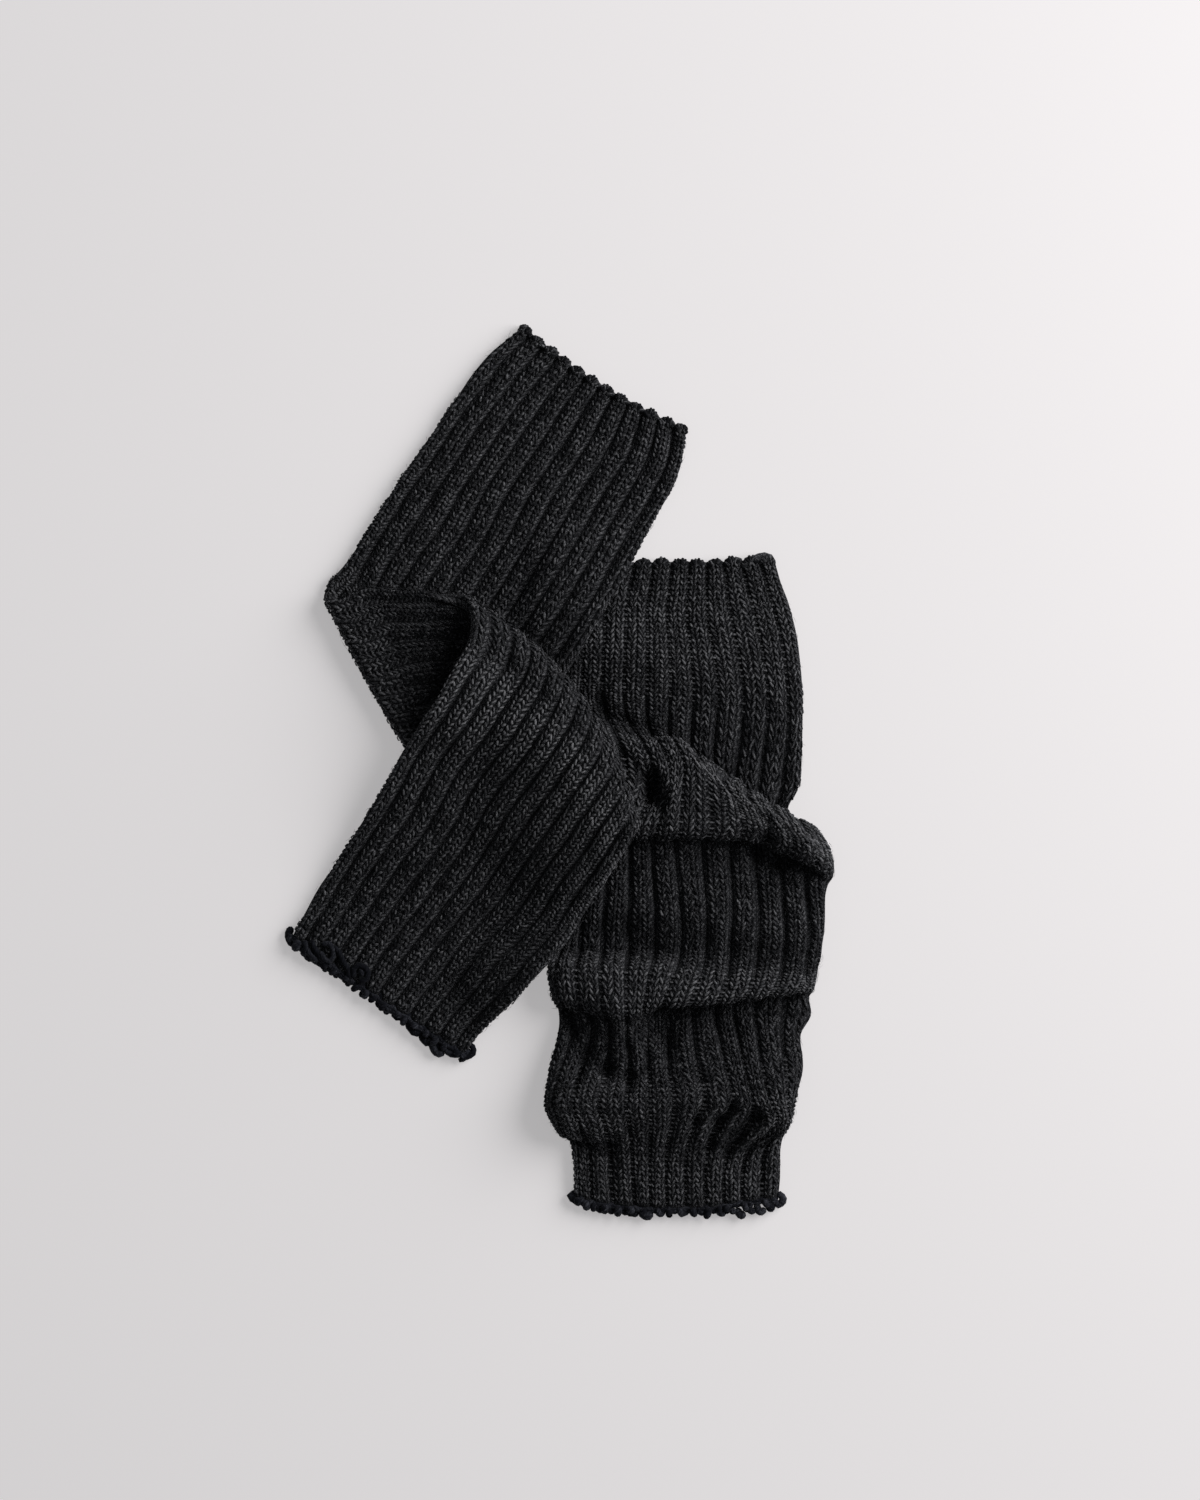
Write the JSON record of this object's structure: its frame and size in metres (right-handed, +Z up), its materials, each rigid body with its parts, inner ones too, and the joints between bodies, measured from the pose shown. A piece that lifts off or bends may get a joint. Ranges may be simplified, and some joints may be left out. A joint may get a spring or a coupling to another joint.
{
  "type": "pair of leg warmers",
  "caption": "Pair of chunky rib-knit tube leg warmers laid on a surface, one folded twice across the other, which is pushed together in rolls.",
  "frame": {"origin": "on the table, under the middle of the pair's box", "axes": "+X to the right, +Y away along the table towards the top hems, +Z up"},
  "size_m": [0.3131, 0.5135, 0.0462],
  "materials": {
    "rib_knit": "charcoal melange wool blend in a chunky rib knit, matt with a short fuzz",
    "edging_yarn": "the same yarn in a plain darker navy charcoal, matt"
  },
  "bodies": {
    "root": {"folded_tube": "rib_knit", "folded_top_edge": "edging_yarn", "folded_bottom_edge": "edging_yarn", "bunched_tube": "rib_knit", "bunched_top_edge": "edging_yarn", "bunched_bottom_edge": "edging_yarn"}
  },
  "joints": []
}
